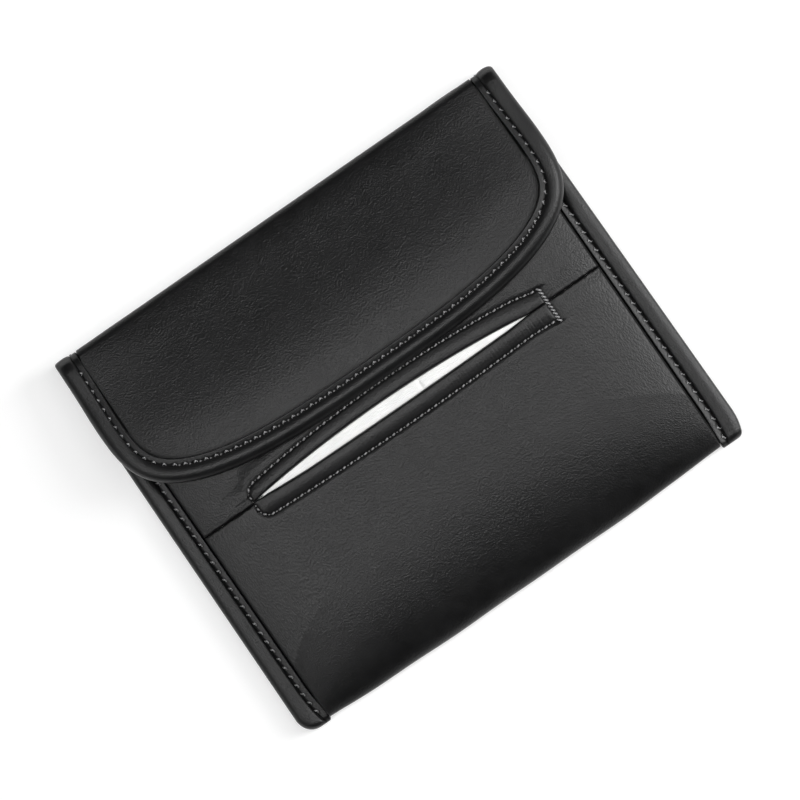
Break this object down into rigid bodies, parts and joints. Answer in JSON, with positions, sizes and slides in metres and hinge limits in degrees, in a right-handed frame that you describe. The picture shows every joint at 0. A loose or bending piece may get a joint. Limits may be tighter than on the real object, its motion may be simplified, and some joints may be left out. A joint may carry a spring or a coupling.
{
  "type": "car tissue holder",
  "caption": "Flat lined pouch of imitation leather that gives out folded tissues through a lipped slot in its front, with a bound flap over its mouth and bands for a sun visor.",
  "frame": {"origin": "middle of the outline, on the surface that the holder lies on with its back down", "axes": "+X across the holder, from left to right seen from the front; +Y from the closed bottom to the top fold; +Z out of the front"},
  "size_m": [0.2016, 0.1686, 0.027],
  "materials": {
    "leather": "fine grained, satin",
    "binding_leather": "fine grained, satin",
    "lining": "matte cloth",
    "board": "matte grey board",
    "magnet": "plated",
    "elastic": "ribbed elastic",
    "tissue": "soft paper"
  },
  "bodies": {
    "pouch": {"outer_wrap": "leather", "lining_wrap": "lining", "back_board": "board", "elastic_band_left": "elastic", "elastic_band_right": "elastic", "front_upper_panel": "leather", "front_upper_lining": "lining", "front_board": "board", "front_magnet_left": "magnet", "front_magnet_right": "magnet", "slot_lip_upper": "binding_leather", "slot_lip_lower": "binding_leather", "side_binding_left": "binding_leather", "side_binding_right": "binding_leather", "tissue_pack": "tissue"},
    "top_strip": {"spine_panel": "leather", "spine_lining": "lining", "spine_binding_left": "binding_leather", "spine_binding_right": "binding_leather"},
    "flap": {"flap_panel": "leather", "flap_board": "board", "flap_lining": "lining", "flap_binding": "binding_leather", "flap_magnet_left": "magnet", "flap_magnet_right": "magnet"},
    "ready_tissue": {"tissue_sheet": "tissue"}
  },
  "joints": [
    {"name": "top_fold_hinge", "type": "hinge", "parent": "pouch", "child": "top_strip", "pos_m": [0, 0.08318, 0.00252], "axis": [-1, 0, 0], "range_deg": [0, 85]},
    {"name": "flap_hinge", "type": "hinge", "parent": "top_strip", "child": "flap", "pos_m": [0, 0.08318, 0.01263], "axis": [-1, 0, 0], "range_deg": [0, 85]},
    {"name": "tissue_pull", "type": "slide", "parent": "pouch", "child": "ready_tissue", "axis": [0, 0, 1], "range_m": [0, 0.01]}
  ],
  "couplings": [
    {"joint": "flap_hinge", "follows": "top_fold_hinge", "ratio": 1}
  ]
}
